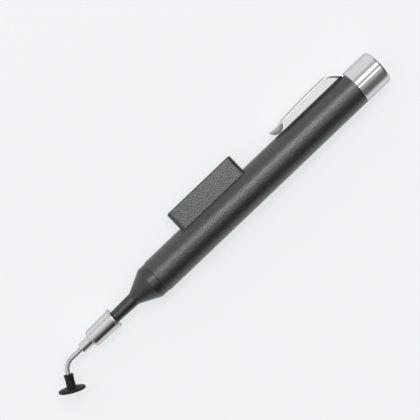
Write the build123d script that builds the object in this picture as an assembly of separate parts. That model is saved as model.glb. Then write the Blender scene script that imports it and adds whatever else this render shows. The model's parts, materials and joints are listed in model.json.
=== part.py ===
from build123d import *
from math import asin, atan2, cos, degrees, hypot, radians, sin, sqrt, tan
import os

# Vacuum pick up pen, in millimetres. The pen frame has X along the barrel's axis, with its origin
# at the centre of the cap's flat end and the tip towards -X, and Y towards the button. At the end
# every piece is rolled about X, so that the pen rests on its barrel and on the button's lower edge.

# Barrel
barrel_od = 13.0
barrel_wall = 1.2
barrel_length = 94.35
barrel_front_rounding = 0.35
barrel_rear_edge = 0.12

# Cap
cap_length = 11.2
cap_shell = 0.5
cap_end_rounding = 1.0
cap_mouth_edge = 0.2
core_stem_length = 9.0
core_hollow_d = 6.0
core_hollow_depth = 7.0
push_fit = 0.04

# Pocket clip, a strip of sheet that rises out of the joint of cap and barrel
clip_sheet = 0.6
clip_width = 5.9
clip_crown = 0.5
clip_rise = 45.0
clip_seat_height = 5.6
clip_foot_inset = 0.6
clip_foot_bottom = 1.2
clip_foot_bend = 0.8
clip_stand_off = 3.7
clip_knee_rounding = 5.5
clip_knee_inner_rounding = 7.5
clip_arm_bow = 245.0
clip_bow_start = 20.85
clip_bowl_reach = 40.4
clip_bowl_radius = 3.0
clip_bowl_gap = 0.1
clip_slot_gap = 0.2
clip_edge_land = 0.05

# Button
button_from_nose = 17.1
button_length = 29.7
button_width = 7.0
button_stand = 6.63
button_corner = 1.6
button_edge = 0.7
button_wall = 1.3
button_rib = 1.0
button_pockets = 4
button_gap = 0.2
button_tab_length = 1.5
button_tab_width = 5.0
button_tab_gap = 0.1
button_foot_gap = 0.1
button_travel = 3.5

# Nose
nose_collar_od = 12.5
nose_collar_length = 3.3
nose_cone_half_angle = 26.2
nose_shoulder_rounding = 1.6
neck_exposed = 9.4
slip_taper = 0.06
slip_mouth_d = 4.33
slip_depth = 7.5
spigot_length = 8.0
nipple_length = 6.0
nipple_root_d = 3.6
barb_count = 3
air_bore_d = 1.6

# Squeeze tube, its plug, rings and cradle
tube_od = 6.4
tube_wall = 1.0
tube_from_spigot = 0.3
tube_past_button = 10.5
tube_fit = 0.02
ring_wall = 0.5
ring_width = 3.0
ring_from_end = 0.8
plug_depth = 5.5
plug_head = 1.6
cradle_below_button = 1.8
cradle_groove_gap = 0.1
cradle_overhang = 2.6
cradle_fit = 0.06

# Needle hub
hub_length = 15.7
hub_flange_d = 7.6
hub_flange = 0.8
hub_body_d = 7.0
hub_body_end_d = 6.4
hub_nozzle_length = 4.4
hub_nozzle_d = 3.75
hub_nozzle_end_d = 3.6
hub_shoulder_rounding = 1.15
hub_edge = 0.18
hub_countersink_d = 6.5
hub_countersink_depth = 0.9
hub_slip_clearance = 0.03
hub_socket_extra = 0.7

# Needle tube. Its bend is drawn in the button's plane, and the turn on the taper follows at the end.
needle_od = 1.65
needle_bore = 1.05
needle_fit = 0.02
needle_straight = 4.5
needle_bend_radius = 5.36
needle_bend = 60.0
needle_end_run = 0.7
needle_in_cup = 3.6
needle_turn = 5.0

# Suction cup, with a stem that is pushed over the needle tube
cup_height = 5.85
cup_stem_d = 3.3
cup_stem_waist_d = 3.15
cup_stem_lip_d = 3.5
cup_stem_lip = 0.5
cup_disc_d = 9.6
cup_rim = 0.75
cup_cone_rise = 0.85
cup_lip_land = 0.3
cup_rim_edge = 0.15
cup_web = 0.8
cup_air_d = 1.0
cup_fit = 0.02
cup_root_rounding = 0.5

# Places and sizes that follow
barrel_r = barrel_od / 2
bore_r = barrel_r - barrel_wall
joint_x = -cap_length
front_x = joint_x - barrel_length
button_front_x = front_x + button_from_nose
button_rear_x = button_front_x + button_length
button_x = (button_rear_x + button_front_x) / 2
button_top = barrel_r + button_stand
collar_r = nose_collar_od / 2
neck_root_r = slip_mouth_d / 2 + slip_taper / 2 * neck_exposed
cone_top_x = front_x - nose_collar_length
neck_root_x = cone_top_x - (collar_r - neck_root_r) / tan(radians(nose_cone_half_angle))
mouth_x = neck_root_x - neck_exposed
slip_end_x = mouth_x - slip_depth
slip_end_r = slip_mouth_d / 2 - slip_taper / 2 * slip_depth
spigot_x = front_x + spigot_length
nipple_x = spigot_x + nipple_length
tube_r = tube_od / 2
tube_bore_r = tube_r - tube_wall
tube_front_x = spigot_x + tube_from_spigot
tube_rear_x = button_rear_x + tube_past_button
hub_end_x = mouth_x - hub_length
nozzle_x = hub_end_x + hub_nozzle_length
socket_end_x = slip_end_x - hub_socket_extra
bend_x = hub_end_x - needle_straight

# The roll that brings the button's lower outer edge down to the barrel's lowest line
edge_y = button_top - button_edge
edge_z = button_width / 2 - button_edge
roll = degrees(asin((barrel_r - button_edge) / hypot(edge_y, edge_z)) - atan2(edge_z, edge_y))

# The needle's end: a point on its axis and its direction, before the turn on the taper
end_direction = Vector(-cos(radians(needle_bend)), -sin(radians(needle_bend)), 0)
bend_end = Vector(
    bend_x - needle_bend_radius * sin(radians(needle_bend)),
    -needle_bend_radius * (1 - cos(radians(needle_bend))),
    0,
)
stem_top = bend_end + end_direction * needle_end_run

# Lines of the clip's side view. The rising stretch crosses the joint at the seat height.
rise_run = 1 / tan(radians(clip_rise))
sheet_half_across = clip_sheet / 2 / cos(radians(clip_rise))
clip_foot_x = joint_x - clip_foot_inset
clip_top = barrel_r + clip_stand_off
clip_bowl_x = -clip_bowl_reach
clip_bow_x = -clip_bow_start
clip_crown_r = ((clip_width / 2) ** 2 + clip_crown**2) / (2 * clip_crown)


def turned(*outline):
    """A solid of revolution about X from an outline of points (x, radius)."""
    face = make_face(Polyline(*outline, close=True))
    return revolve(face, Axis.X)


def edges_at(solid, x, radius):
    """The round edges about X at one place along the axis and of one radius."""
    near = 0.02
    rounds = solid.edges().filter_by(GeomType.CIRCLE)
    return [e for e in rounds if abs(e.arc_center.X - x) < near and abs(e.radius - radius) < near]


def rounded_prism(length, width, corner, bottom, top, x):
    """An upright prism along Y with rounded corners, centred on the pen's axis at x."""
    plane = Plane(origin=(x, bottom, 0), x_dir=(1, 0, 0), z_dir=(0, 1, 0))
    return extrude(plane * RectangleRounded(length, width, corner), amount=top - bottom)


def rise_height(x, offset):
    """The height at x of a line along the clip's rising stretch, offset across the sheet."""
    return clip_seat_height + (joint_x - x) / rise_run + offset


def rise_place(y, offset):
    """The x at which that line reaches the height y."""
    return joint_x - (y - clip_seat_height - offset) * rise_run


def make_barrel():
    tube = turned((joint_x, bore_r), (joint_x, barrel_r), (front_x, barrel_r), (front_x, bore_r))
    tube = fillet(edges_at(tube, front_x, barrel_r), barrel_front_rounding)
    tube = chamfer(edges_at(tube, joint_x, barrel_r), barrel_rear_edge)
    window = rounded_prism(
        button_length + 2 * button_gap,
        button_width + 2 * button_gap,
        button_corner + button_gap,
        0,
        button_top,
        button_x,
    )
    return tube - window - clip_notch()


def clip_notch():
    """The notch in the barrel's rear edge: a slanted front flank, and a deep back for the foot."""
    front = clip_foot_x - clip_sheet / 2 - clip_slot_gap
    slant = -sheet_half_across - clip_slot_gap / cos(radians(clip_rise))
    side = make_face(
        Polyline(
            (joint_x + barrel_wall, clip_foot_bottom),
            (front, clip_foot_bottom),
            (front, rise_height(front, slant)),
            (rise_place(clip_top, slant), clip_top),
            (joint_x + barrel_wall, clip_top),
            close=True,
        )
    )
    return extrude(side, amount=clip_width / 2 + clip_slot_gap, both=True)


def make_end_cap():
    shell = turned((joint_x, 0), (joint_x, barrel_r), (0, barrel_r), (0, 0))
    shell = fillet(edges_at(shell, 0, barrel_r), cap_end_rounding)
    shell = chamfer(edges_at(shell, joint_x, barrel_r), cap_mouth_edge)
    inner_r = barrel_r - cap_shell
    hollow = turned((joint_x, 0), (joint_x, inner_r), (-cap_shell, inner_r), (-cap_shell, 0))
    hollow = chamfer(edges_at(hollow, -cap_shell, inner_r), cap_end_rounding - cap_shell)
    return shell - hollow


def make_cap_core():
    head_r = barrel_r - cap_shell - push_fit
    stem_r = bore_r - push_fit
    stem_x = joint_x - core_stem_length
    head_x = -cap_shell - push_fit
    hollow_x = stem_x + core_hollow_depth
    core = turned(
        (head_x, 0),
        (head_x, head_r),
        (joint_x, head_r),
        (joint_x, stem_r),
        (stem_x, stem_r),
        (stem_x, core_hollow_d / 2),
        (hollow_x, core_hollow_d / 2),
        (hollow_x, 0),
    )
    core = chamfer(edges_at(core, head_x, head_r), cap_end_rounding - cap_shell + push_fit)
    core = chamfer(edges_at(core, stem_x, stem_r), clip_sheet)
    return core - clip_slot()


def clip_slot():
    """The slot that takes the clip's foot, with room all round for the clip to flex."""
    half = clip_sheet / 2 + clip_slot_gap
    low = clip_foot_bottom - clip_slot_gap
    side = make_face(
        Polyline(
            (clip_foot_x + half, low),
            (clip_foot_x + half, barrel_r),
            (clip_foot_x - half, barrel_r),
            (clip_foot_x - half, low),
            close=True,
        )
    )
    return extrude(side, amount=clip_width / 2 + clip_slot_gap, both=True)


def crown_face(radius, side):
    """The region above (side 1) or below (side -1) a crowned line across the arm, at its bow."""
    half = clip_width
    top = clip_top - (clip_crown_r - radius)
    edge = top - radius + sqrt(radius**2 - half**2)
    far = clip_top + side * clip_width
    across = Plane(origin=(clip_bow_x, 0, 0), x_dir=(0, 0, 1), z_dir=(-1, 0, 0))
    arch = ThreePointArc((half, edge), (0, top), (-half, edge))
    rest = Polyline((-half, edge), (-half, far), (half, far), (half, edge))
    return across * make_face([arch, rest])


def make_pocket_clip():
    half = clip_sheet / 2
    depth = clip_sheet + clip_crown - clip_edge_land
    low = clip_top - depth
    side = FilletPolyline(
        (clip_foot_x + half, clip_foot_bottom),
        (clip_foot_x + half, rise_height(clip_foot_x + half, sheet_half_across)),
        (rise_place(clip_top, sheet_half_across), clip_top),
        (clip_bow_x, clip_top),
        (clip_bow_x, low),
        (rise_place(low, -sheet_half_across), low),
        (clip_foot_x - half, rise_height(clip_foot_x - half, -sheet_half_across)),
        (clip_foot_x - half, clip_foot_bottom),
        radius=[
            0,
            clip_foot_bend + half,
            clip_knee_rounding,
            0,
            0,
            clip_knee_inner_rounding,
            clip_foot_bend - half,
            0,
        ],
        close=True,
    )
    strip = extrude(make_face(side), amount=clip_width / 2, both=True)
    above = crown_face(clip_crown_r, 1)
    below = crown_face(clip_crown_r - clip_sheet, -1)
    rise_reach = 2 * clip_top
    under_rise = extrude(
        make_face(
            Polyline(
                (rise_place(rise_reach, -sheet_half_across), rise_reach),
                (rise_place(barrel_r, -sheet_half_across), barrel_r),
                (clip_bow_x - clip_width, barrel_r),
                (clip_bow_x - clip_width, rise_reach),
                close=True,
            )
        ),
        amount=clip_width,
        both=True,
    )
    back = clip_foot_x - clip_bow_x
    strip -= extrude(above, amount=back, dir=(1, 0, 0))
    strip -= extrude(below, amount=back, dir=(1, 0, 0)) & under_rise
    section = Plane(origin=(clip_bow_x, clip_top - depth / 2, 0), x_dir=(0, 0, 1), z_dir=(-1, 0, 0))
    section = section * Rectangle(clip_width, depth) - above - below
    bow_axis = Axis((clip_bow_x, clip_top - clip_arm_bow, 0), (0, 0, 1))
    bow_run = clip_bowl_reach - clip_bow_start
    strip += revolve(section, bow_axis, degrees(bow_run / clip_arm_bow))
    bowl_place = Pos(clip_bowl_x, barrel_r + clip_bowl_gap + clip_bowl_radius, 0)
    strip += bowl_place * Sphere(clip_bowl_radius) - revolve(
        above, bow_axis, degrees((bow_run + 2 * clip_bowl_radius) / clip_arm_bow)
    )
    return strip - bowl_place * Sphere(clip_bowl_radius - clip_sheet)


def make_push_button():
    """A hollow button whose end tabs catch under the barrel's wall and whose ribs press the tube."""
    foot = tube_r + button_foot_gap
    body = rounded_prism(button_length, button_width, button_corner, foot, button_top, button_x)
    body = fillet(body.faces().sort_by(Axis.Y)[-1].edges(), button_edge)
    tabs_length = button_length + 2 * button_tab_length
    tabs = rounded_prism(tabs_length, button_tab_width, button_corner, foot, barrel_r, button_x)
    tab_r = bore_r - button_tab_gap
    rear = button_rear_x + 2 * button_tab_length
    front = button_front_x - 2 * button_tab_length
    tabs &= turned((rear, 0), (rear, tab_r), (front, tab_r), (front, 0))
    button = body + tabs
    pitch = (button_length - button_wall * 2 + button_rib) / button_pockets
    for number in range(button_pockets):
        pocket_x = button_rear_x - button_wall - pitch * number - (pitch - button_rib) / 2
        pocket_width = button_width - 2 * button_wall
        button -= rounded_prism(
            pitch - button_rib, pocket_width, button_edge / 2, 0, button_top - button_wall, pocket_x
        )
    return button


def make_nose_cone():
    nipple_r = tube_bore_r - tube_fit
    root_r = nipple_root_d / 2
    outline = [
        (slip_end_x, air_bore_d / 2),
        (slip_end_x, slip_end_r),
        (neck_root_x, neck_root_r),
        (cone_top_x, collar_r),
        (front_x, collar_r),
        (front_x, bore_r - push_fit),
        (spigot_x, bore_r - push_fit),
        (spigot_x, root_r),
    ]
    barb = (nipple_length - tube_from_spigot) / barb_count
    for number in range(barb_count):
        start = spigot_x + tube_from_spigot + barb * number
        outline.append((start, root_r))
        outline.append((start, nipple_r))
    outline.append((nipple_x, root_r))
    outline.append((nipple_x, air_bore_d / 2))
    nose = turned(*outline)
    return fillet(edges_at(nose, cone_top_x, collar_r), nose_shoulder_rounding)


def make_squeeze_tube():
    return turned(
        (tube_front_x, tube_bore_r),
        (tube_front_x, tube_r),
        (tube_rear_x, tube_r),
        (tube_rear_x, tube_bore_r),
    )


def make_ring(x):
    """A thin metal ring round the squeeze tube, centred at x."""
    inner = tube_r + tube_fit
    outer = inner + ring_wall
    rear = x + ring_width / 2
    front = x - ring_width / 2
    return turned((front, inner), (front, outer), (rear, outer), (rear, inner))


def make_tube_plug():
    stem_r = tube_bore_r - tube_fit
    head_x = tube_rear_x + plug_head
    plug = turned(
        (tube_rear_x - plug_depth, 0),
        (tube_rear_x - plug_depth, stem_r),
        (tube_rear_x, stem_r),
        (tube_rear_x, tube_r),
        (head_x, tube_r),
        (head_x, 0),
    )
    return chamfer(edges_at(plug, tube_rear_x - plug_depth, stem_r), tube_wall / 2)


def make_tube_cradle():
    """A bed of crescent section along the bore's lower side, a little longer than the button."""
    rear = button_rear_x + cradle_overhang
    front = button_front_x - cradle_overhang
    bed_r = bore_r - cradle_fit
    groove_r = tube_r + cradle_groove_gap
    bed = turned((front, 0), (front, bed_r), (rear, bed_r), (rear, 0))
    groove = turned((front, 0), (front, groove_r), (rear, groove_r), (rear, 0))
    pressed_foot = tube_r + button_foot_gap - button_travel
    top = pressed_foot - cradle_below_button
    above = rounded_prism(barrel_length, barrel_od, button_edge, top, barrel_r, button_x)
    return bed - groove - above


def make_needle_hub():
    """A turned hub: flange and slip socket at its mouth, then a taper, a shoulder and a nozzle."""
    bore = needle_od / 2 + needle_fit
    flange_x = mouth_x - hub_flange
    sink_x = mouth_x - hub_countersink_depth
    sink_r = slip_mouth_d / 2 - slip_taper / 2 * hub_countersink_depth + hub_slip_clearance
    socket_r = slip_end_r - slip_taper / 2 * hub_socket_extra + hub_slip_clearance
    hub = turned(
        (mouth_x, hub_countersink_d / 2),
        (mouth_x, hub_flange_d / 2),
        (flange_x, hub_flange_d / 2),
        (flange_x, hub_body_d / 2),
        (nozzle_x, hub_body_end_d / 2),
        (nozzle_x, hub_nozzle_d / 2),
        (hub_end_x, hub_nozzle_end_d / 2),
        (hub_end_x, bore),
        (socket_end_x, bore),
        (socket_end_x, socket_r),
        (sink_x, sink_r),
    )
    hub = fillet(edges_at(hub, nozzle_x, hub_body_end_d / 2), hub_shoulder_rounding)
    hub = chamfer(edges_at(hub, mouth_x, hub_flange_d / 2), hub_edge)
    hub = chamfer(edges_at(hub, flange_x, hub_flange_d / 2), hub_edge)
    return chamfer(edges_at(hub, hub_end_x, hub_nozzle_end_d / 2), hub_edge)


def make_needle_tube():
    """A thin tube: a straight run out of the hub, one bend away from the button, and an end run."""
    ring = Circle(needle_od / 2) - Circle(needle_bore / 2)
    start = Plane(origin=(socket_end_x, 0, 0), z_dir=(-1, 0, 0))
    straight = extrude(start * ring, amount=socket_end_x - bend_x)
    turn = Plane(origin=(bend_x, 0, 0), z_dir=(-1, 0, 0))
    bend_axis = Axis((bend_x, -needle_bend_radius, 0), (0, 0, 1))
    bend = revolve(turn * ring, bend_axis, needle_bend)
    end = Plane(origin=bend_end, z_dir=end_direction)
    return straight + bend + extrude(end * ring, amount=needle_end_run + needle_in_cup)


def make_suction_cup():
    """Stem and disc in one piece, turned about X and then set on the needle's end run."""
    stem_bore = needle_od / 2 + cup_fit
    disc_r = cup_disc_d / 2
    disc_top = cup_height - cup_rim
    disc_root = disc_top - cup_cone_rise
    seat = needle_in_cup + cup_fit
    roof = disc_root + cup_web
    cup = turned(
        (0, stem_bore),
        (0, cup_stem_lip_d / 2),
        (cup_stem_lip / 2, cup_stem_lip_d / 2),
        (cup_stem_lip, cup_stem_d / 2),
        ((cup_stem_lip + disc_root) / 2, cup_stem_waist_d / 2),
        (disc_root, cup_stem_d / 2),
        (disc_top, disc_r),
        (cup_height, disc_r),
        (cup_height, disc_r - cup_rim_edge - cup_lip_land),
        (roof, cup_air_d),
        (roof, cup_air_d / 2),
        (seat, cup_air_d / 2),
        (seat, stem_bore),
    )
    cup = chamfer(edges_at(cup, disc_top, disc_r), cup_rim_edge)
    cup = chamfer(edges_at(cup, cup_height, disc_r), cup_rim_edge)
    cup = fillet(edges_at(cup, disc_root, cup_stem_d / 2), cup_root_rounding)
    return Plane(origin=stem_top, x_dir=end_direction, z_dir=(0, 0, 1)).location * cup


def turned_on_taper(shape):
    """A piece of the needle, turned about X as the needle stands on its taper."""
    return shape.rotate(Axis.X, needle_turn)


def roll_to_rest(shape):
    """The piece as it lies on the table, with Z up."""
    return shape.rotate(Axis.X, -roll)


ring_inset = ring_from_end + ring_width / 2
parts = {
    "barrel": make_barrel(),
    "nose_cone": make_nose_cone(),
    "push_button": make_push_button(),
    "end_cap": make_end_cap(),
    "cap_core": make_cap_core(),
    "pocket_clip": make_pocket_clip(),
    "squeeze_tube": make_squeeze_tube(),
    "tube_plug": make_tube_plug(),
    "front_clamp_ring": make_ring(tube_front_x + ring_inset),
    "rear_clamp_ring": make_ring(tube_rear_x - ring_inset),
    "tube_cradle": make_tube_cradle(),
    "needle_hub": turned_on_taper(make_needle_hub()),
    "needle_tube": turned_on_taper(make_needle_tube()),
    "suction_cup": turned_on_taper(make_suction_cup()),
}

if __name__ == "__main__":
    os.makedirs("parts", exist_ok=True)
    for name, shape in parts.items():
        export_step(roll_to_rest(shape), f"parts/{name}.step")
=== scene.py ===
# %% [markdown]
# # A vacuum pick up pen
#
# The pen lies on a pale table. Its barrel and button are black plastic with a fine moulded grain,
# the nose is the same plastic left smooth, and the cap, the clip and the needle's hub are plated.
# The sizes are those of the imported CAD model. This script dresses it: some pieces keep their CAD
# mesh and get a finish, and the ones whose gloss would show facets are made again as fine
# surfaces.

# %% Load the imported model
import json
from math import cos, pi, radians, sin, tan

import bmesh
import bpy
import numpy as np
from mathutils import Matrix, Vector


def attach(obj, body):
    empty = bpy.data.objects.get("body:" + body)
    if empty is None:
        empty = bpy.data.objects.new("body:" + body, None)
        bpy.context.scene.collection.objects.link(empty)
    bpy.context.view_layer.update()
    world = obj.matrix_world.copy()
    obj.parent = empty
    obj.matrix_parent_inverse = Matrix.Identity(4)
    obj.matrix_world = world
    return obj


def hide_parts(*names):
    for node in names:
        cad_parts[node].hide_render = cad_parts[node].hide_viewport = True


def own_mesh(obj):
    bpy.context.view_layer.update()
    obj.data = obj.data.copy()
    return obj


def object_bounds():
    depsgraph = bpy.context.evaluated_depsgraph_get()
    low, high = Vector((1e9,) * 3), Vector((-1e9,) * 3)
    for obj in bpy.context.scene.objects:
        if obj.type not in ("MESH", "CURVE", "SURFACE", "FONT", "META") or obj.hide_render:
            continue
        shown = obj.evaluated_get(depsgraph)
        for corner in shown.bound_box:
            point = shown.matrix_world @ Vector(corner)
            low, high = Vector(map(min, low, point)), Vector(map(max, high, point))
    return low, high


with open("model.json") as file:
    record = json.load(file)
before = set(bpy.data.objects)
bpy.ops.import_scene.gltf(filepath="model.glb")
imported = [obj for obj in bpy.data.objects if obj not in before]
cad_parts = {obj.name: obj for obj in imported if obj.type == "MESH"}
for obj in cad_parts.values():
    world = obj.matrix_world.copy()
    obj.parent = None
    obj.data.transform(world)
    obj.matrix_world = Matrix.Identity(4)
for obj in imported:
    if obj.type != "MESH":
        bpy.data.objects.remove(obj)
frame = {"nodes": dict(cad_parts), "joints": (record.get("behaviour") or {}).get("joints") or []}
cad_low, cad_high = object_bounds()
nodes = frame["nodes"]
print("CAD nodes:", ", ".join(sorted(nodes)))

# %% [markdown]
# ## The pen's own axes
#
# The pen is turned about its length until it rests on its barrel and on the button's lower edge,
# so "towards the button" isn't a world axis. The button's joint knows it: it slides straight in.
# Three axes follow, and `place` puts a point written in millimetres of the pen's own frame
# (along, towards the button, across) where the CAD model has it. The needle is turned on its
# taper, so its pieces have axes of their own, which the direction of its end gives.

# %% Axes and places
MM = 0.001
joints = {joint["name"]: joint for joint in frame["joints"]}
along = Vector((1, 0, 0))
towards_button = -Vector(joints["button_press"]["axis"])
across = along.cross(towards_button)
pen_axes = np.array([along, towards_button, across])
needle_end = Vector(joints["cup_pull"]["axis"])
needle_back = (along * needle_end.x - needle_end).normalized()
needle_axes = np.array([along, needle_back, along.cross(needle_back)])


def place(points, axes=pen_axes):
    """Points in millimetres along three axes of the pen, as points of the scene in metres."""
    return np.asarray(points, float) @ axes * MM


print("towards the button:", [round(c, 4) for c in towards_button])
print("the needle's end points along", [round(c, 4) for c in needle_end])

# %% [markdown]
# ## The camera
#
# The photograph looks straight at the pen's side, with the cap at the upper right. The middle of
# the picture falls on the barrel a little above its axis, and 420 pixels cover 145 mm there.
# A moderate distance gives the slight perspective that shows the top of the cup's disc.

# %% Camera
picture_width = 145.2 * MM
camera_distance = 376.5 * MM
picture_centre = Vector(place((-76.45, 4.06, 0)))
picture_turn = radians(43.65)

camera_right = along * cos(picture_turn) - towards_button * sin(picture_turn)
camera_up = along * sin(picture_turn) + towards_button * cos(picture_turn)
camera_data = bpy.data.cameras.new("camera")
camera = bpy.data.objects.new("camera", camera_data)
camera_turn = Matrix((camera_right, camera_up, across)).transposed()
camera_place = Matrix.Translation(picture_centre + across * camera_distance)
camera.matrix_world = camera_place @ camera_turn.to_4x4()
camera_data.lens = camera_data.sensor_width * camera_distance / picture_width
camera_data.clip_start = 10 * MM
bpy.context.scene.collection.objects.link(camera)
bpy.context.scene.camera = camera
bpy.context.scene.view_settings.view_transform = "Standard"
print(f"lens {camera_data.lens:.1f} mm")

# %% [markdown]
# ## A helper for colours and one for nodes
#
# Colours are written as sRGB hex, as a paint shop or a picture editor shows them, but the shaders
# count in linear light, so one function converts them. The second helper adds one node to a
# material: its plain settings are set by name, and its inputs take a value or another socket.

# %% Colours and nodes


def linear(hex_colour):
    """An sRGB hex colour as linear red, green, blue and a full alpha.

    A share up to 0.04045 is divided by 12.92, and a larger one is ((share + 0.055) / 1.055) ^ 2.4.
    """
    shares = np.array([int(hex_colour[i : i + 2], 16) for i in (1, 3, 5)]) / 255
    low = shares / 12.92
    high = ((shares + 0.055) / 1.055) ** 2.4
    return (*np.where(shares <= 0.04045, low, high), 1.0)


def add(tree, kind, inputs, **settings):
    """Adds a node of a kind, sets its settings, and gives its inputs their values or links."""
    node = tree.nodes.new(kind)
    for name, value in settings.items():
        setattr(node, name, value)
    for name, value in inputs.items():
        if isinstance(value, bpy.types.NodeSocket):
            tree.links.new(value, node.inputs[name])
        else:
            node.inputs[name].default_value = value
    return node


def finish(name, colour, metallic, roughness, **more):
    """A new material with one Principled shader: the material, its node tree and the shader."""
    material = bpy.data.materials.new(name)
    material.use_nodes = True
    tree = material.node_tree
    tree.nodes.clear()
    values = {"Base Color": linear(colour), "Metallic": metallic, "Roughness": roughness}
    values.update(more)
    shader = add(tree, "ShaderNodeBsdfPrincipled", values)
    add(tree, "ShaderNodeOutputMaterial", {"Surface": shader.outputs["BSDF"]})
    return material, tree, shader


def dress(piece, material):
    """Gives a piece one material all over."""
    piece.data.materials.clear()
    piece.data.materials.append(material)


print("pale grey in linear light:", [round(c, 3) for c in linear("#F0F2F4")[:3]])

# %% [markdown]
# ## The light
#
# The plated cap is a mirror of the studio, so it says where the lamps hung: a wide bright strip
# on the button's side of the camera, a narrow one on the other side, a grey ceiling between them,
# and something dark lower down on the side away from the button. The hub, at the other end, shows
# neither strip, so the lamps end before its line of sight. Both lamps are long rectangles along
# the pen. They hang far off, so that the table is lit evenly.

# %% Lamps
lamp_distance = 2.4
lamp_tip_share = -0.15
lamp_cap_share = 0.6


def strip_lamp(name, angle, width_angle, brightness):
    """A long lamp at an angle about the pen's axis from the camera, towards the button.

    Its direction is the camera's times cos(angle) plus the button's times sin(angle). Its power is
    brightness * pi * area, so that a mirror shows it at that brightness, where white is 1.
    """
    direction = across * cos(angle) + towards_button * sin(angle)
    sideways = towards_button * cos(angle) - across * sin(angle)
    width = 2 * lamp_distance * tan(width_angle / 2)
    length = lamp_distance * (lamp_cap_share - lamp_tip_share)
    data = bpy.data.lights.new(name, "AREA")
    data.shape = "RECTANGLE"
    data.size = length
    data.size_y = width
    data.energy = brightness * pi * length * width
    lamp = bpy.data.objects.new(name, data)
    middle = direction + along * (lamp_cap_share + lamp_tip_share) / 2
    turn = Matrix((along, sideways, direction)).transposed()
    lamp.matrix_world = Matrix.Translation(picture_centre + middle * lamp_distance) @ turn.to_4x4()
    lamp.visible_camera = False
    bpy.context.scene.collection.objects.link(lamp)
    print(f"{name}: {length:.2f} by {width:.2f} m, {data.energy:.1f} W")


strip_lamp("wide_strip", angle=radians(15.5), width_angle=radians(11.0), brightness=8.0)
strip_lamp("narrow_strip", angle=radians(-13.5), width_angle=radians(4.0), brightness=4.5)

# %% [markdown]
# ## The room
#
# The rest of the studio is the world's light. Its level depends on the angle about the pen's axis,
# so the long reflections in the barrel and the cap stay straight, as the photograph shows. The
# angle comes from the direction by an arctangent, and how far the direction leans towards the cap
# comes from a dot product.

# %% Directions in the room
world = bpy.data.worlds.new("studio")
world.use_nodes = True
bpy.context.scene.world = world
sky = world.node_tree
sky.nodes.clear()
where = add(sky, "ShaderNodeTexCoord", {}).outputs["Generated"]
to_button, to_camera, to_cap = (
    add(sky, "ShaderNodeVectorMath", {0: where, 1: axis}, operation="DOT_PRODUCT")
    for axis in (towards_button, across, along)
)
about = add(
    sky,
    "ShaderNodeMath",
    {0: to_button.outputs["Value"], 1: to_camera.outputs["Value"]},
    operation="ARCTAN2",
)
turn_share = add(
    sky,
    "ShaderNodeMapRange",
    {"Value": about.outputs["Value"], "From Min": -pi, "From Max": pi},
)
end_share = add(
    sky,
    "ShaderNodeMapRange",
    {"Value": to_cap.outputs["Value"], "From Min": -1.0, "From Max": 1.0},
)
print("nodes for the directions:", len(sky.nodes))

# %% [markdown]
# ## The room's grey levels
#
# Colour ramps hold the levels: one for the room's end beyond the cap, where its dark side is a
# grey, and one for its end beyond the tip, where it is nearly black. Their places are degrees
# about the pen, from the camera towards the button. Further out past the tip the room opens and
# is a little paler all round. Straight out past the cap's end hangs a dark curtain, which draws
# the thin dark line along the cap's round edge. These two go by the lean towards the cap, from
# -1 to 1.

# %% Levels


def levels_along(share, levels, lowest, highest):
    """A colour ramp whose stops are levels at places between the lowest and the highest."""
    ramp = add(sky, "ShaderNodeValToRGB", {"Fac": share.outputs["Result"]})
    stops = ramp.color_ramp.elements
    for number, (place_of, level) in enumerate(levels.items()):
        position = (place_of - lowest) / (highest - lowest)
        stop = stops[number] if number < 2 else stops.new(position)
        stop.position = position
        stop.color = (level, level, level, 1)
    return ramp.outputs["Color"]


cap_end_levels = {
    -180: 0.85,
    -96: 0.68,
    -87: 0.3,
    -78: 0.17,
    -56: 0.16,
    -44: 0.24,
    -36: 0.4,
    -28: 0.58,
    -8: 0.62,
    8: 0.64,
    28: 0.6,
    40: 0.58,
    50: 0.84,
    57: 0.9,
    66: 0.83,
    90: 0.88,
}
tip_end_levels = {
    -180: 0.85,
    -94: 0.7,
    -84: 0.45,
    -76: 0.19,
    -68: 0.05,
    -52: 0.04,
    -40: 0.09,
    -26: 0.24,
    -12: 0.4,
    0: 0.76,
    12: 0.66,
    24: 0.98,
    34: 1.0,
    44: 0.8,
    60: 0.74,
    90: 0.8,
}
curtain_levels = {-1.0: 1.0, 0.5: 1.0, 0.6: 0.2, 1.0: 0.2}
open_levels = {-1.0: 0.22, -0.5: 0.22, -0.25: 0.0, 1.0: 0.0}
open_room = 0.95
print("stops on the ramps:", len(cap_end_levels), len(tip_end_levels), len(curtain_levels))

# %% [markdown]
# ## The world
#
# The two ends of the room are mixed where they meet, beside the pen. Then come the open part and
# the curtain. The camera itself sees only a pale wall.

# %% World
ends_meet_from = -0.12
ends_meet_to = 0.14
room_end = add(
    sky,
    "ShaderNodeMapRange",
    {
        "Value": to_cap.outputs["Value"],
        "From Min": ends_meet_from,
        "From Max": ends_meet_to,
    },
)
room = add(
    sky,
    "ShaderNodeMix",
    {
        "Factor": room_end.outputs["Result"],
        "A": levels_along(turn_share, tip_end_levels, -180, 180),
        "B": levels_along(turn_share, cap_end_levels, -180, 180),
    },
    data_type="FLOAT",
)
whole_room = add(
    sky,
    "ShaderNodeMix",
    {
        "Factor": levels_along(end_share, open_levels, -1, 1),
        "A": room.outputs["Result"],
        "B": open_room,
    },
    data_type="FLOAT",
)
curtained = add(
    sky,
    "ShaderNodeMath",
    {0: whole_room.outputs["Result"], 1: levels_along(end_share, curtain_levels, -1, 1)},
    operation="MULTIPLY",
)
surround = add(sky, "ShaderNodeBackground", {"Color": curtained.outputs["Value"], "Strength": 1.0})
wall = add(sky, "ShaderNodeBackground", {"Color": linear("#F0F2F4"), "Strength": 1.0})
watched = add(
    sky,
    "ShaderNodeMixShader",
    {
        0: add(sky, "ShaderNodeLightPath", {}).outputs["Is Camera Ray"],
        1: surround.outputs["Background"],
        2: wall.outputs["Background"],
    },
)
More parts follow.
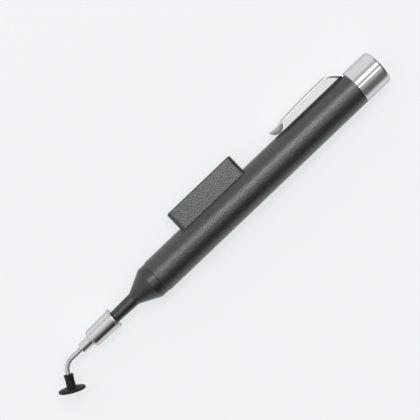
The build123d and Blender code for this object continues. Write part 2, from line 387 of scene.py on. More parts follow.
add(sky, "ShaderNodeOutputWorld", {"Surface": watched.outputs["Shader"]})
print("nodes in the world:", len(sky.nodes))

# %% [markdown]
# ## The table
#
# A plain pale board, matt, so that it shows the pen's soft shadow and no reflection. Such boards
# are often lit from below to thin the shadow out. Here the same is done for what the camera and
# the plated pieces see: part of the board's light comes from the board itself, while the light
# that it gives back to the pen stays that of a plain board. It is a disc at the height of the
# pen's lowest point, so wide that its edge lies far off from any side.

# %% Table
table_radius = 6.0
table_points = 96
table_glow = 0.7
table_mesh = bpy.data.meshes.new("table")
table_piece = bpy.data.objects.new("table", table_mesh)
bpy.context.scene.collection.objects.link(table_piece)
around = np.linspace(0, 2 * pi, table_points, endpoint=False)
rim = np.stack([np.cos(around), np.sin(around), np.zeros_like(around)], axis=-1) * table_radius
rim += (picture_centre.x, 0, cad_low.z)
table_mesh.from_pydata(rim.tolist(), [], [list(range(len(rim)))])
board, board_tree, board_shader = finish(
    "matt_white_board", "#F6F7F8", metallic=0.0, roughness=0.9, **{"Specular IOR Level": 0.1}
)
ray = add(board_tree, "ShaderNodeLightPath", {})
mirrored = add(
    board_tree,
    "ShaderNodeMath",
    {0: ray.outputs["Is Glossy Ray"], 1: ray.outputs["Is Transmission Ray"]},
    operation="MAXIMUM",
)
seen = add(
    board_tree,
    "ShaderNodeMath",
    {0: mirrored.outputs["Value"], 1: ray.outputs["Is Camera Ray"]},
    operation="MAXIMUM",
)
glow_share = add(
    board_tree, "ShaderNodeMath", {0: seen.outputs["Value"], 1: table_glow}, operation="MULTIPLY"
)
glow = add(board_tree, "ShaderNodeEmission", {"Color": linear("#F9FCFE"), "Strength": 1.0})
lit_board = add(
    board_tree,
    "ShaderNodeMixShader",
    {
        0: glow_share.outputs["Value"],
        1: board_shader.outputs["BSDF"],
        2: glow.outputs["Emission"],
    },
)
board_end = next(node for node in board_tree.nodes if node.type == "OUTPUT_MATERIAL")
board_tree.links.new(lit_board.outputs["Shader"], board_end.inputs["Surface"])
dress(table_piece, board)
print("table at", round(cad_low.z * 1000, 3), "mm")

# %% [markdown]
# ## Surfaces from formulas
#
# Almost every new piece is a grid of points: rows along a profile or a path, columns round it.
# `grid_faces` joins the points into quads, and `join_grids` puts several grids into one mesh.

# %% Grids


def grid_faces(rows, columns, close_rows, close_columns):
    """Quads between neighbours of a grid whose points are numbered row by row."""
    index = np.arange(rows * columns).reshape(rows, columns)
    if close_columns:
        index = np.hstack([index, index[:, :1]])
    if close_rows:
        index = np.vstack([index, index[:1]])
    corners = [index[:-1, :-1], index[1:, :-1], index[1:, 1:], index[:-1, 1:]]
    return np.stack(corners, -1).reshape(-1, 4)


def join_grids(*grids):
    """One list of points and one of quads from several open grids that share their borders."""
    sizes = [grid.shape[0] * grid.shape[1] for grid in grids]
    starts = np.cumsum([0] + sizes[:-1])
    faces = [
        grid_faces(*grid.shape[:2], False, False) + start for grid, start in zip(grids, starts)
    ]
    return np.vstack([grid.reshape(-1, 3) for grid in grids]), np.vstack(faces)


print("a grid of 3 by 3 points has", len(grid_faces(3, 3, False, False)), "faces")

# %% [markdown]
# ## Making a piece
#
# `make_piece` turns points and quads into an object. Where a row has shrunk to one point, at a
# pole, its doubles are merged, and the quads become triangles. Sheet gets its sharp edges rounded.
# The places go into the mesh, so that the object stays at the origin as a CAD node does.

# %% Pieces
merge_distance = 0.0005
bevel_angle = radians(40)
sharp_angle = radians(32)


def make_piece(name, points, faces, body, material, axes=pen_axes, edge=0):
    """An object from points in millimetres, with its sharp edges rounded, then put in place."""
    mesh = bpy.data.meshes.new(name)
    mesh.from_pydata(points.tolist(), [], faces.tolist())
    work = bmesh.new()
    work.from_mesh(mesh)
    bmesh.ops.remove_doubles(work, verts=work.verts, dist=merge_distance)
    bmesh.ops.recalc_face_normals(work, faces=work.faces)
    if edge:
        lines = [line for line in work.edges if line.calc_face_angle(0) > bevel_angle]
        bmesh.ops.bevel(
            work,
            geom=lines,
            offset=edge,
            segments=2,
            profile=0.5,
            affect="EDGES",
            clamp_overlap=True,
        )
    open_edges = sum(line.is_boundary or not line.is_manifold for line in work.edges)
    work.to_mesh(mesh)
    work.free()
    places = np.empty(len(mesh.vertices) * 3, np.float32)
    mesh.vertices.foreach_get("co", places)
    places = place(places.reshape(-1, 3), axes)
    mesh.vertices.foreach_set("co", places.astype(np.float32).ravel())
    mesh.update()
    mesh.shade_smooth()
    mesh.set_sharp_from_angle(angle=sharp_angle)
    piece = bpy.data.objects.new(name, mesh)
    bpy.context.scene.collection.objects.link(piece)
    dress(piece, material)
    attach(piece, body)
    print(f"{name}: {len(mesh.polygons)} faces, {open_edges} open edges")
    return piece


print("edges turned by more than", round(np.degrees(bevel_angle)), "degrees can be rounded")

# %% [markdown]
# ## Outlines with round corners
#
# A turned piece is drawn as half its section: a few corners, each with its radius. `rounded`
# replaces every corner by an arc. The points crowd towards the two ends of the arc, as the cosine
# does, so the first small face is nearly in line with the straight beside it, and the shading has
# no visible step there.

# %% Outlines
arc_points = 11
steps_round = 144


def rounded(corners, closed=False):
    """A line through corners (x, y, radius), each turned by an arc tangent to its two sides.

    The arc starts radius * tan(turn / 2) before the corner, and its points are the weighted sums
    of the two end radii that keep their length, with the weights crowded towards the ends.
    """
    share = (1 - np.cos(np.linspace(0, pi, arc_points))) / 2
    line = []
    count = len(corners)
    for number, (x, y, radius) in enumerate(corners):
        corner = np.array([x, y], float)
        inner = closed or 0 < number < count - 1
        if not inner or radius == 0:
            line.append(corner[None])
            continue
        before = np.array(corners[number - 1][:2]) - corner
        after = np.array(corners[(number + 1) % count][:2]) - corner
        before /= np.linalg.norm(before)
        after /= np.linalg.norm(after)
        turn = pi - np.arccos(np.clip(before @ after, -1, 1))
        inward = (before + after) / np.linalg.norm(before + after)
        middle = corner + inward * radius / cos(turn / 2)
        first = corner + before * radius * tan(turn / 2) - middle
        last = corner + after * radius * tan(turn / 2) - middle
        weights = np.stack([np.sin((1 - share) * turn), np.sin(share * turn)], -1) / sin(turn)
        line.append(middle + weights @ np.stack([first, last]))
    return np.vstack(line)


def turned(outline, steps=steps_round):
    """The points of an outline (x, radius) carried round the x axis: x, r cos a, r sin a."""
    angle = np.linspace(0, 2 * pi, steps, endpoint=False)
    x = np.repeat(outline[:, :1], steps, axis=1)
    return np.stack([x, outline[:, 1:] * np.cos(angle), outline[:, 1:] * np.sin(angle)], -1)


def turned_piece(name, outline, closed, body, material, steps=steps_round):
    """A turned object: a closed outline makes a ring, an open one starts and ends on the axis."""
    points = turned(outline, steps)
    faces = grid_faces(len(outline), steps, closed, True)
    return make_piece(name, points.reshape(-1, 3), faces, body, material)


print("an arc has", arc_points, "points, and a round is made in", steps_round, "steps")

# %% [markdown]
# ## What a surface is like close up
#
# Every real surface has some small unevenness, and its gloss varies with it. One helper adds both
# to a shader: a noise of a size in millimetres, which may be drawn out along the pen for rings or
# for drawing lines, gives the bump its height and moves the roughness between two values.

# %% Surface detail
noise_low = 0.3
noise_high = 0.7
finer_share = 0.6


def textured(tree, shader, size, depth, roughness, stretch=(1, 1, 1), detail=2.0):
    """Adds a noise of a size and a bump depth, in metres, and a range for the roughness.

    The roughness goes from its first value to its second as the noise goes from low to high.
    """
    here = add(tree, "ShaderNodeTexCoord", {}).outputs["Object"]
    drawn_out = add(tree, "ShaderNodeMapping", {"Vector": here, "Scale": stretch})
    noise = add(
        tree,
        "ShaderNodeTexNoise",
        {
            "Vector": drawn_out.outputs["Vector"],
            "Scale": 1 / size,
            "Detail": detail,
            "Roughness": finer_share,
        },
    )
    bump = add(tree, "ShaderNodeBump", {"Height": noise.outputs["Fac"], "Distance": depth})
    gloss = add(
        tree,
        "ShaderNodeMapRange",
        {
            "Value": noise.outputs["Fac"],
            "From Min": noise_low,
            "From Max": noise_high,
            "To Min": roughness[0],
            "To Max": roughness[1],
        },
    )
    tree.links.new(bump.outputs["Normal"], shader.inputs["Normal"])
    tree.links.new(gloss.outputs["Result"], shader.inputs["Roughness"])
    return noise.outputs["Fac"]


# Scaled down across the pen, the noise is drawn out into a lathe's rings. Scaled down along it, it
# is drawn out into the lines of a drawing die.
ring_share = 0.06
line_share = 0.04
lathe_rings = (1, ring_share, ring_share)
drawing_lines = (line_share, 1, 1)
print("rings are drawn out", round(1 / ring_share), "times, lines", round(1 / line_share))

# %% [markdown]
# ## Chrome on the cap
#
# The cap is drawn from thin brass, polished and chromium plated. It is the brightest finish on the
# pen, nearly a mirror, with the faint waviness that polishing leaves. The waviness is a bump far
# below what the eye would call a dent. The specular tint is set a little darker than white, so
# that the edges, seen at a slant, stand off from the pale table as they do in the photograph:
# this is painted shade, which stands in for the shaded table that the edges mirror.

# %% Chrome
wave_size = 2.2 * MM
wave_depth = 0.00015 * MM
chrome, chrome_tree, chrome_shader = finish(
    "bright_chromium_plate",
    "#DDDEDF",
    metallic=1.0,
    roughness=0.05,
    # Painted shade: the darker tint darkens the edges seen at a slant.
    **{"Specular Tint": linear("#C8C8C8")},
)
textured(chrome_tree, chrome_shader, wave_size, wave_depth, roughness=(0.04, 0.07), detail=1.0)
print(f"waves {wave_size * 1000:.1f} mm long and {wave_depth * 1e6:.2f} micrometres deep")

# %% [markdown]
# ## The cap
#
# A thin shell with a flat end, drawn in one piece. The photograph shows a thin dark line just
# inside the end's edge, where the round edge meets the flat face: the edge is rounded over by a
# millimetre. The outline runs from the middle of the end, round the edge, along the side to the
# mouth, and back inside.

# %% Cap
cap_length = 11.2
cap_radius = 6.5
cap_sheet = 0.5
cap_edge = 1.0
cap_mouth_edge = 0.25
cap_inner_edge = 0.05
joint_x = -cap_length
cap_outline = rounded(
    [
        (0, 0, 0),
        (0, cap_radius, cap_edge),
        (-cap_length, cap_radius, cap_mouth_edge),
        (-cap_length, cap_radius - cap_sheet, cap_inner_edge),
        (-cap_sheet, cap_radius - cap_sheet, cap_edge - cap_sheet),
        (-cap_sheet, 0, 0),
    ]
)
cap = turned_piece("cap_shell", cap_outline, False, "pen_body", chrome)
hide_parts("end_cap")

# %% [markdown]
# ## Plain finishes for the inner pieces
#
# The plug, the cradle and the cap's core are moulded in plain black plastic, and two bands of
# aluminium hold the squeeze tube. They are inside, but they are real pieces, so they get real
# finishes. The soft tube itself is milky silicone.

# %% Inner finishes
inner_plastic, inner_tree, inner_shader = finish(
    "black_moulded_polypropylene", "#2E2E30", metallic=0.0, roughness=0.5
)
textured(inner_tree, inner_shader, size=0.3 * MM, depth=0.006 * MM, roughness=(0.42, 0.58))
inner_metal, ring_tree, ring_shader = finish(
    "turned_aluminium", "#C9CACC", metallic=1.0, roughness=0.35
)
textured(
    ring_tree,
    ring_shader,
    size=0.08 * MM,
    depth=0.002 * MM,
    roughness=(0.28, 0.42),
    stretch=lathe_rings,
)
for name in ("cap_core", "tube_plug", "tube_cradle"):
    dress(nodes[name], inner_plastic)
for name in ("front_clamp_ring", "rear_clamp_ring"):
    dress(nodes[name], inner_metal)
print("finishes for the inner pieces:", inner_plastic.name, inner_metal.name)

# %% [markdown]
# ## The squeeze tube
#
# Inside the barrel lies a soft tube, which the button flattens against its cradle. Letting go
# draws the air in. It is extruded silicone, milky, so light enters it a little way and comes out
# again: that is subsurface scattering. The extruder's die leaves faint lines along it. A rigid
# mesh can't flatten, so the stretch under the button is a piece of its own, with a mesh of its
# own, apart from the two ends.

# %% Squeeze tube
front_x = -105.55
tube_radius = 3.2
tube_bore = 2.2
tube_edge = 0.1
tube_steps = 72
tube_stretches = {
    "squeeze_tube_front": (-97.25, -90.95),
    "squeeze_tube_middle": (-90.95, -56.25),
    "squeeze_tube_rear": (-56.25, -48.25),
}
silicone, silicone_tree, silicone_shader = finish(
    "extruded_milky_silicone",
    "#D9D6CE",
    metallic=0.0,
    roughness=0.45,
    **{"Subsurface Weight": 0.5, "Subsurface Scale": 1 * MM},
)
textured(
    silicone_tree,
    silicone_shader,
    size=0.5 * MM,
    depth=0.004 * MM,
    roughness=(0.38, 0.52),
    stretch=drawing_lines,
)
for name, (start, stop) in tube_stretches.items():
    outline = rounded(
        [
            (start, tube_bore, tube_edge),
            (start, tube_radius, tube_edge),
            (stop, tube_radius, tube_edge),
            (stop, tube_bore, tube_edge),
        ],
        closed=True,
    )
    stretch = turned_piece(
        name, outline, True, "pen_body", silicone, steps=tube_steps
    )
    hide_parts("squeeze_tube")
    if name == "squeeze_tube_middle":
        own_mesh(stretch)

# %% [markdown]
# ## Black plastic with a moulded grain
#
# The barrel and the button are moulded ABS. Their mould was etched, which leaves pits less than
# half a millimetre across, so the light on them breaks up into a fine sparkle. The pits here are
# drawn nearly that large, because finer ones would be lost at a third of a millimetre to a pixel.
# The noise that makes them also varies the gloss, and the colour a little, because dust and skin
# grease stay in them. ABS has an IOR of 1.54. The specular level is set above its usual half, so
# that the highlight along the barrel comes out as pale as in the photograph.

# %% Grained plastic
abs_ior = 1.54
grain_size = 0.42 * MM
grain_depth = 0.1 * MM
grained, grained_tree, grained_shader = finish(
    "black_abs_etched_grain",
    "#151517",
    metallic=0.0,
    roughness=0.36,
    IOR=abs_ior,
    **{"Specular IOR Level": 1.0},
)
pits = textured(grained_tree, grained_shader, grain_size, grain_depth, roughness=(0.28, 0.38))
tone = add(grained_tree, "ShaderNodeValToRGB", {"Fac": pits})
for stop, position, colour in zip(tone.color_ramp.elements, (0.35, 0.65), ("#1D1D1F", "#121214")):
    stop.position = position
    stop.color = linear(colour)
grained_tree.links.new(tone.outputs["Color"], grained_shader.inputs["Base Color"])
dress(nodes["barrel"], grained)
dress(nodes["push_button"], grained)
print("pits of", grain_size * 1000, "mm, bump of", round(grain_depth * 1000, 3), "mm")

# %% [markdown]
# ## The same plastic with a satin face
#
# The nose's mould was blasted with fine grit instead of etched. That leaves a shallow, even
# unevenness and a softer sheen. It is drawn coarser than it is, a third of a millimetre, so that
# it shows.

# %% Satin plastic
satin, satin_tree, satin_shader = finish(
    "black_abs_satin",
    "#151517",
    metallic=0.0,
    roughness=0.34,
    IOR=abs_ior,
    **{"Specular IOR Level": 0.8},
)
textured(satin_tree, satin_shader, size=0.35 * MM, depth=0.008 * MM, roughness=(0.3, 0.38))
print("the nose's finish:", satin.name)

# %% [markdown]
# ## The nose
#
# One moulded piece: a collar, a cone, and a slightly tapered neck that carries the needle's hub.
# Behind the parting line it goes on inside the barrel as a spigot and a barbed nipple. It is drawn
# as one closed outline and turned.

# %% Nose
collar_radius = 6.25
collar_length = 3.3
cone_angle = radians(26.2)
shoulder_radius = 1.6
slip_taper = 0.03
mouth_radius = 4.33 / 2
neck_length = 9.4
slip_depth = 7.5
air_bore = 0.8

neck_root_radius = mouth_radius + slip_taper * neck_length
cone_x = front_x - collar_length
neck_x = cone_x - (collar_radius - neck_root_radius) / tan(cone_angle)
mouth_x = neck_x - neck_length
slip_x = mouth_x - slip_depth
slip_radius = mouth_radius - slip_taper * slip_depth
spigot_x = front_x + 8.0
spigot_radius = 5.26
nipple_x = spigot_x + 6.0
nipple_root = 1.8
barb_radius = 2.18
barb_count = 3
barb_pitch = 1.9
first_barb_x = spigot_x + 0.3
barbs = [
    (first_barb_x + barb_pitch * number, radius, 0)
    for number in range(barb_count)
    for radius in (nipple_root, barb_radius)
]
nose_outline = rounded(
    [
        (slip_x, air_bore, 0.1),
        (slip_x, slip_radius, 0.15),
        (neck_x, neck_root_radius, 0.8),
        (cone_x, collar_radius, shoulder_radius),
        (front_x, collar_radius, 0.1),
        (front_x, spigot_radius, 0),
        (spigot_x, spigot_radius, 0.2),
        (spigot_x, nipple_root, 0),
        *barbs,
        (nipple_x, nipple_root, 0.1),
        (nipple_x, air_bore, 0.1),
    ],
    closed=True,
)
nose = turned_piece("nose", nose_outline, True, "pen_body", satin)
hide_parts("nose_cone")
print(f"the neck starts at {neck_x:.2f} mm and the hub's mouth is at {mouth_x:.2f} mm")

# %% [markdown]
# ## The clip: its line and its crown
#
# A strip of bright plated spring sheet. Its foot is held in a slot of the cap's core, it rises at
# 45 degrees, bends over a knee and runs above the barrel as a slightly bowed arm. Seen along the
# arm, the sheet is crowned, which stiffens it. The side view is one line with round corners, and
# a circle across the strip gives the crown, which fades in over the knee.

# %% Clip sizes and line
clip_sheet = 0.6
clip_half_width = 2.95
clip_crown = 0.5
clip_top = 10.2
clip_foot = (joint_x - 0.3, 1.2)
clip_bend = (joint_x - 0.3, 6.324)
clip_bend_radius = 1.1
clip_knee_x = joint_x - 4.176
clip_knee_radius = 5.5
clip_bow_x = -20.85
clip_bow_radius = 245.0
bowl_x = -40.4
bowl_radius = 3.0
bowl_underside = 6.6
bowl_y = bowl_underside + bowl_radius
crown_radius = (clip_half_width**2 + clip_crown**2) / (2 * clip_crown)


def crown_drop(z):
    """How far the crown's circle has dropped at z from the middle of the strip."""
    return crown_radius - np.sqrt(crown_radius**2 - z**2)


def arm_height(x, z):
    """The height of the arm's top: a level line, less the bow's circle and the crown's circle."""
    bow = clip_bow_radius - np.sqrt(clip_bow_radius**2 - (x - clip_bow_x) ** 2)
    return clip_top - bow - crown_drop(z)


def with_more_points(line, spacing):
    """A line of points, with more of them where two neighbours lie further apart than spacing."""
    run = np.insert(np.cumsum(np.linalg.norm(np.diff(line, axis=0), axis=1)), 0, 0)
    extra = [
        np.linspace(start, stop, int(np.ceil((stop - start) / spacing)), endpoint=False)
        for start, stop in zip(run[:-1], run[1:])
    ]
    places = np.append(np.concatenate(extra), run[-1])
    return np.stack([np.interp(places, run, line[:, 0]), np.interp(places, run, line[:, 1])], -1)


rise_line = rounded(
    [
        (*clip_foot, 0),
        (*clip_bend, clip_bend_radius),
        (clip_knee_x, clip_top, clip_knee_radius),
        (clip_bow_x, clip_top, 0),
    ]
)
line_spacing = 0.5
arm_end_x = bowl_x + bowl_radius + line_spacing
arm_points = 24
arm_x = np.linspace(clip_bow_x, arm_end_x, arm_points)[1:]
arm_line = np.stack([arm_x, arm_height(arm_x, 0)], -1)
clip_line = np.vstack([with_more_points(rise_line, line_spacing), arm_line])
print("the clip's line has", len(clip_line), "points")

# %% [markdown]
# ## The clip: its bowl
#
# At the arm's end the sheet is pressed down into a round bowl that touches the barrel. Outside it
# is part of a ball, inside a smaller ball, and its rim lies on the arm's crowned surface. The
# rim's height isn't known before its radius, nor the radius before the height, so a few rounds of
# trying one and then the other settle both.

# %% Clip's rims
strip_columns = 33
rounds_of_trying = 15


def rim_of_ball(radius, below, around):
    """The line where a ball round the bowl's centre meets the arm's top, or a surface below it.

    At an angle round the bowl, the reach r and the height h satisfy r^2 + h^2 = radius^2.
    """
    reach = np.full_like(around, radius)
    for _ in range(rounds_of_trying):
        x = bowl_x + reach * np.cos(around)
        height = arm_height(x, reach * np.sin(around)) - below - bowl_y
        reach = np.sqrt(radius**2 - height**2)
    x = bowl_x + reach * np.cos(around)
    return np.stack([x, bowl_y + height, reach * np.sin(around)], -1)


def on_ball(radius, tilt, around):
    """Points of a ball round the bowl's centre, at a tilt from straight down and an angle round.

    The reach sideways is radius * sin(tilt), and the drop is radius * cos(tilt).
    """
    reach = radius * np.sin(tilt)
    x = bowl_x + reach * np.cos(around)
    return np.stack([x, bowl_y - radius * np.cos(tilt), reach * np.sin(around)], -1)


def tilt_of(rim, radius):
    """The tilt from straight down of the points of a rim on a ball."""
    return np.arccos((bowl_y - rim[:, 1]) / radius)


around_bowl = np.linspace(-pi / 2, 3 * pi / 2, 2 * strip_columns - 1)
rim_top = rim_of_ball(bowl_radius, 0, around_bowl)
rim_low = rim_of_ball(bowl_radius, clip_sheet, around_bowl)
rim_inner = rim_of_ball(bowl_radius - clip_sheet, 0, around_bowl)
print(f"the bowl's mouth is {2 * rim_inner[:, 2].max():.2f} mm wide")

# %% [markdown]
# ## The clip: its strip
#
# The top of the strip follows the line, and the underside lies one sheet's thickness below it.
# Near the bowl both spread out to meet its rims. Strips close the two sides and the foot's end.
# Their rows lie close to the edges, where the bevel will round them.

# %% Clip's strip
edge_rows = np.array([0, 0.17, 0.83, 1])
crown_start_x = clip_knee_x + 1.2
crown_run = 3.4
strip_z = crown_radius * np.sin(
    np.linspace(-1, 1, strip_columns) * np.arcsin(clip_half_width / crown_radius)
)
steps = np.gradient(clip_line, axis=0)
steps /= np.linalg.norm(steps, axis=1, keepdims=True)
outward = np.stack([steps[:, 1], -steps[:, 0]], -1)
# The fade is the smooth step 3 s^2 - 2 s^3, which starts and ends level.
fade = np.clip((crown_start_x - clip_line[:, 0]) / crown_run, 0, 1)
fade = fade**2 * (3 - 2 * fade)
drop = fade[:, None] * crown_drop(strip_z)
top = np.empty((len(clip_line), strip_columns, 3))
top[..., :2] = clip_line[:, None] - outward[:, None] * drop[..., None]
top[..., 2] = strip_z
under = top.copy()
under[..., :2] -= clip_sheet * outward[:, None]


def spread_to(start, rim, below, rows=12):
    """Rows from the strip's last row to a rim: x and z go straight, and y follows the surface."""
    share = np.linspace(0, 1, rows + 1)[1:, None, None]
    spread = start + (rim - start) * share
    spread[..., 1] = arm_height(spread[..., 0], spread[..., 2]) - below
    return spread


rear = slice(0, strip_columns)
free = slice(strip_columns - 1, None)
top = np.vstack([top, spread_to(top[-1], rim_top[rear], 0)])
under = np.vstack([under, spread_to(under[-1], rim_low[rear], clip_sheet)])
sides = top[:, [0, -1], None] + (under - top)[:, [0, -1], None] * edge_rows[:, None]
foot_end = top[0] + (under[0] - top[0]) * edge_rows[:, None, None]
print("the strip has", len(top), "rows of", strip_columns, "points")

# %% [markdown]
# ## The clip: its bowl's surfaces
#
# The bowl has an outside and an inside, and a ring closes the free part of its rim. The lip
# between the arm's top and the inside is turned over softly, along a curve that starts on the top,
# aims at the rim and ends on the inner ball. All these grids share their border points with the
# strip, so they join without a gap.

# %% Clip's bowl
outer_tilt = tilt_of(rim_top, bowl_radius)
low_tilt = tilt_of(rim_low, bowl_radius)
wall_tilt = outer_tilt + (low_tilt - outer_tilt) * edge_rows[:, None]
wall = on_ball(bowl_radius, wall_tilt[:, free], around_bowl[free])
corner_columns = [0, strip_columns - 1]
sides[-1] = on_ball(bowl_radius, wall_tilt[:, corner_columns].T, around_bowl[corner_columns, None])
outside_rows = 17
outside_share = np.linspace(1, 0, outside_rows)[:, None]
outside = on_ball(bowl_radius, low_tilt * outside_share, around_bowl)

inner_radius = bowl_radius - clip_sheet
inside_rows = 15
lip_rows = 7
lip_width = 0.3
lip_turn = lip_width / inner_radius
inner_tilt = tilt_of(rim_inner, inner_radius)
lip = rim_inner.copy()
lip[:, [0, 2]] += lip_width * np.stack([np.cos(around_bowl), np.sin(around_bowl)], -1)
lip[:, 1] = arm_height(lip[:, 0], lip[:, 2])
past_lip = on_ball(inner_radius, inner_tilt - lip_turn, around_bowl)
# The lip is the curve a (1 - s)^2 + 2 b s (1 - s) + c s^2 from a to c, aimed at b.
share = np.linspace(0, 1, lip_rows)[:, None, None]
lip_turned = lip * (1 - share) ** 2 + rim_inner * 2 * share * (1 - share) + past_lip * share**2
inside_share = np.linspace(1, 0, inside_rows)[1:, None]
inside = on_ball(inner_radius, (inner_tilt - lip_turn) * inside_share, around_bowl)
inside = np.vstack([rim_top[None], lip_turned, inside])
print("the bowl's inside has", len(inside), "rows")

# %% [markdown]
# ## The clip's plating
#
# Nickel on spring steel, softer in its gloss than the cap and faintly wavy, as the sheet was. The
# photograph shows the pressed bowl paler and duller than the arm. So the roughness rises within
# the bowl, by the distance from its centre, and there the colour turns paler too: a painted
# reflection, which stands in for the bright surroundings that the bowl mirrors. The specular tint
# is darker than white for the same reason as on the cap: painted shade on the edges seen at a
# slant.

# %% Clip's plating
arm_colour = "#C2C1C0"
# Painted reflection: the bowl's base colour is paler than the arm's, in place of the bright
# surroundings it mirrors.
bowl_painted_reflection_colour = "#F0F0EF"
pressed_roughness = 0.8
bowl_fade_width = 0.5
nickel, nickel_tree, nickel_shader = finish(
    "nickel_plate_on_spring_steel",
    arm_colour,
    metallic=1.0,
    roughness=0.39,
    # Painted shade: the darker tint darkens the edges seen at a slant.
    **{"Specular Tint": linear("#C0C0C0")},
)
textured(
    nickel_tree,
    nickel_shader,
    size=1.2 * MM,
    depth=0.0001 * MM,
    roughness=(0.37, 0.41),
    detail=1.0,
)
arm_gloss = nickel_shader.inputs["Roughness"].links[0].from_socket
spot = add(nickel_tree, "ShaderNodeTexCoord", {}).outputs["Object"]
bowl_centre = place((bowl_x, bowl_y, 0))
from_bowl = add(
    nickel_tree, "ShaderNodeVectorMath", {0: spot, 1: bowl_centre}, operation="DISTANCE"
)
# The bowl's mask: within it the roughness rises and the painted reflection fades in.
bowl_dull_and_painted_reflection = add(
    nickel_tree,
    "ShaderNodeMapRange",
    {
        "Value": from_bowl.outputs["Value"],
        "From Min": (bowl_radius + bowl_fade_width) * MM,
        "From Max": bowl_radius * MM,
    },
).outputs["Result"]
gloss = add(
    nickel_tree,
    "ShaderNodeMix",
    {"Factor": bowl_dull_and_painted_reflection, "A": arm_gloss, "B": pressed_roughness},
    data_type="FLOAT",
)
nickel_tree.links.new(gloss.outputs["Result"], nickel_shader.inputs["Roughness"])
# The base colour goes from the arm's own colour to the bowl's painted reflection.
plating_and_painted_reflection = add(nickel_tree, "ShaderNodeValToRGB", {"Fac": bowl_dull_and_painted_reflection})
plating_and_painted_reflection.color_ramp.elements[0].color = linear(arm_colour)
plating_and_painted_reflection.color_ramp.elements[1].color = linear(bowl_painted_reflection_colour)
nickel_tree.links.new(plating_and_painted_reflection.outputs["Color"], nickel_shader.inputs["Base Color"])
print(nickel.name, "changes within", bowl_radius + bowl_fade_width, "mm of the bowl's centre")

# %% [markdown]
# ## The clip: one piece
#
# The grids are joined, and the sharp edges get a small round, as sheet has after tumbling and
# plating.

# %% Clip
sheet_round = 0.08
clip_points, clip_faces = join_grids(
    top, under, sides[:, 0], sides[:, 1], foot_end, wall, outside, inside
)
clip = make_piece(
    "clip_of_sheet", clip_points, clip_faces, "clip", nickel, edge=sheet_round
)
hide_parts("pocket_clip")

# %% [markdown]
# ## The needle's hub
#
# Turned brass, nickel plated: a flange at the mouth, a slightly tapered body, a round shoulder and
# a nozzle out of which the needle comes. Inside is the tapered socket for the neck. The plating is
# bright, so the room shows in it as long streaks, and the lathe's feed of about a tenth of a
# millimetre leaves very fine rings. Its specular tint is darker than the cap's, because so small a
# piece would otherwise be lost on the pale table: this is painted shade on the edges seen at a
# slant, which stands in for the shaded table that they mirror.

# %% Hub
hub_nickel, hub_tree, hub_shader = finish(
    "nickel_plate_on_turned_brass",
    "#DEDDDB",
    metallic=1.0,
    roughness=0.06,
    # Painted shade: the dark tint darkens the edges seen at a slant.
    **{"Specular Tint": linear("#B0B0B0")},
)
textured(
    hub_tree,
    hub_shader,
    size=0.12 * MM,
    depth=0.0002 * MM,
    roughness=(0.04, 0.09),
    stretch=lathe_rings,
)
hub_x = mouth_x - 15.7
flange_x = mouth_x - 0.8
nozzle_x = hub_x + 4.4
socket_x = slip_x - 0.7
sink_x = mouth_x - 0.9
sink_radius = 3.25
flange_radius = 3.8
flange_edge = 0.18
body_wide_radius = 3.5
body_thin_radius = 3.2
shoulder_round = 1.15
nozzle_wide_radius = 1.875
nozzle_thin_radius = 1.8
needle_hole = 0.845
socket_thin_radius = 1.949
socket_wide_radius = 2.168
hub_outline = rounded(
    [
        (mouth_x, sink_radius, 0.1),
        (mouth_x, flange_radius, flange_edge),
        (flange_x, flange_radius, flange_edge),
        (flange_x, body_wide_radius, 0.12),
        (nozzle_x, body_thin_radius, shoulder_round),
        (nozzle_x, nozzle_wide_radius, 0.15),
        (hub_x, nozzle_thin_radius, 0.2),
        (hub_x, needle_hole, 0.05),
        (socket_x, needle_hole, 0),
        (socket_x, socket_thin_radius, 0.1),
        (sink_x, socket_wide_radius, 0),
    ],
    closed=True,
)
hub = turned_piece("hub", hub_outline, True, "needle", hub_nickel)
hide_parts("needle_hub")

# %% [markdown]
# ## The needle tube
#
# Drawn stainless tube, bent by 60 degrees in a plane through the axis. A ring is carried along the
# tube's centre line, first along the outside and then back along the bore, so both ends close.
# Drawing leaves scratches along the tube. They are drawn a tenth of a millimetre apart, coarser
# than they are. On a tube this thin nearly all is seen at a slant, so its specular tint is a mid
# grey: painted shade, which darkens the tube's edges in place of the shaded table they mirror.

# %% Needle tube
steel, steel_tree, steel_shader = finish(
    "drawn_stainless_tube",
    "#C6C7C9",
    metallic=1.0,
    roughness=0.25,
    # Painted shade: the mid grey tint darkens the tube where it is seen at a slant.
    **{"Specular Tint": linear("#808080")},
)
textured(
    steel_tree,
    steel_shader,
    size=0.1 * MM,
    depth=0.0001 * MM,
    roughness=(0.2, 0.26),
    stretch=drawing_lines,
)
tube_outer = 0.825
tube_inner = 0.525
bend_start_x = hub_x - 4.5
bend_radius = 5.36
bend_angle = radians(60)
bend_rows = 29
end_run = 0.7
in_cup = 3.6


def along_needle(run, radius, steps=48):
    """Points of a tube of one radius round the needle's centre line, at each run along it.

    The line is straight to the bend's start, then an arc whose angle is the run over the bend's
    radius, and then straight again. Each ring lies square to the line's direction.
    """
    bend = np.clip(run / bend_radius, 0, bend_angle)
    before = np.minimum(run, 0)
    after = np.maximum(run - bend_radius * bend_angle, 0)
    middle = np.stack(
        [
            bend_start_x - bend_radius * np.sin(bend) - before - after * np.cos(bend),
            -bend_radius * (1 - np.cos(bend)) - after * np.sin(bend),
        ],
        -1,
    )
    square = np.stack([-np.sin(bend), np.cos(bend)], -1)
    turn = np.linspace(0, 2 * pi, steps, endpoint=False)
    ring = middle[:, None] + radius * np.cos(turn)[:, None] * square[:, None]
    z = np.broadcast_to(radius * np.sin(turn), ring.shape[:2])
    return np.concatenate([ring, z[..., None]], -1)


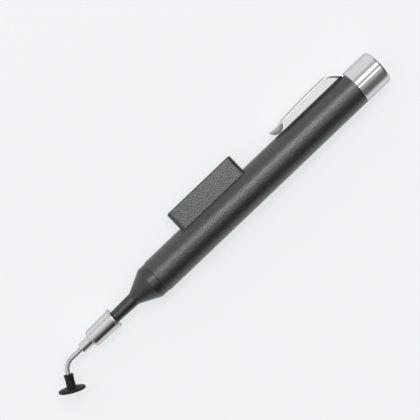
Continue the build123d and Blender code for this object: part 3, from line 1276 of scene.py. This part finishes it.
bend_run = bend_radius * bend_angle
bend_runs = np.linspace(0, bend_run, bend_rows)
runs = np.concatenate([[bend_start_x - socket_x], bend_runs, [bend_run + end_run + in_cup]])
tube_points = np.vstack([along_needle(runs, tube_outer), along_needle(runs[::-1], tube_inner)])
tube_faces = grid_faces(*tube_points.shape[:2], True, True)
needle = make_piece(
    "needle", tube_points.reshape(-1, 3), tube_faces, "needle", steel, needle_axes
)
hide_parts("needle_tube")

# %% [markdown]
# ## The suction cup
#
# Black silicone rubber, moulded in one piece: a stem that is pushed over the needle, and a thin
# disc with a hollow face and an air hole. Its outline is turned about the needle's end, so its own
# length runs along the end's direction. Rubber has no sharp edge, so every corner that shows is
# round. The mould's matt face is drawn coarser than it is, at about half a millimetre, so that it
# shows.

# %% Cup
rubber, rubber_tree, rubber_shader = finish(
    "black_silicone_rubber",
    "#0B0B0C",
    metallic=0.0,
    roughness=0.55,
    **{"Specular IOR Level": 0.35},
)
textured(rubber_tree, rubber_shader, size=0.6 * MM, depth=0.02 * MM, roughness=(0.45, 0.7))
cup_steps = 120
stem_hole = 0.845
stem_bead = 1.75
stem_radius = 1.65
stem_waist = 1.575
air_hole = 0.5
roof_radius = 1.0
lip_wall = 0.45
disc_radius = 4.8
disc_root = 4.25
disc_edge = 5.1
cup_height = 5.85
hollow_roof = 5.05
hole_end = in_cup + 0.02
cup_outline = rounded(
    [
        (0, stem_hole, 0.12),
        (0, stem_bead, 0.15),
        (0.25, stem_bead, 0.1),
        (0.5, stem_radius, 0.1),
        (2.375, stem_waist, 3.0),
        (disc_root, stem_radius, 0.5),
        (disc_edge, disc_radius, 0.25),
        (cup_height, disc_radius, 0.2),
        (cup_height, disc_radius - lip_wall, 0.12),
        (hollow_roof, roof_radius, 0.2),
        (hollow_roof, air_hole, 0.05),
        (hole_end, air_hole, 0),
        (hole_end, stem_hole, 0),
    ],
    closed=True,
)
cup_local = turned(cup_outline, cup_steps)
end_way = np.array([-cos(bend_angle), -sin(bend_angle), 0])
end_side = np.array([-sin(bend_angle), cos(bend_angle), 0])
stem_top = along_needle(np.array([bend_run + end_run]), 0)[0, 0]
cup_points = stem_top + cup_local @ np.stack([end_way, end_side, np.array([0, 0, 1.0])])
cup = make_piece(
    "cup",
    cup_points.reshape(-1, 3),
    grid_faces(*cup_points.shape[:2], True, True),
    "cup",
    rubber,
    needle_axes,
)
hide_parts("suction_cup")
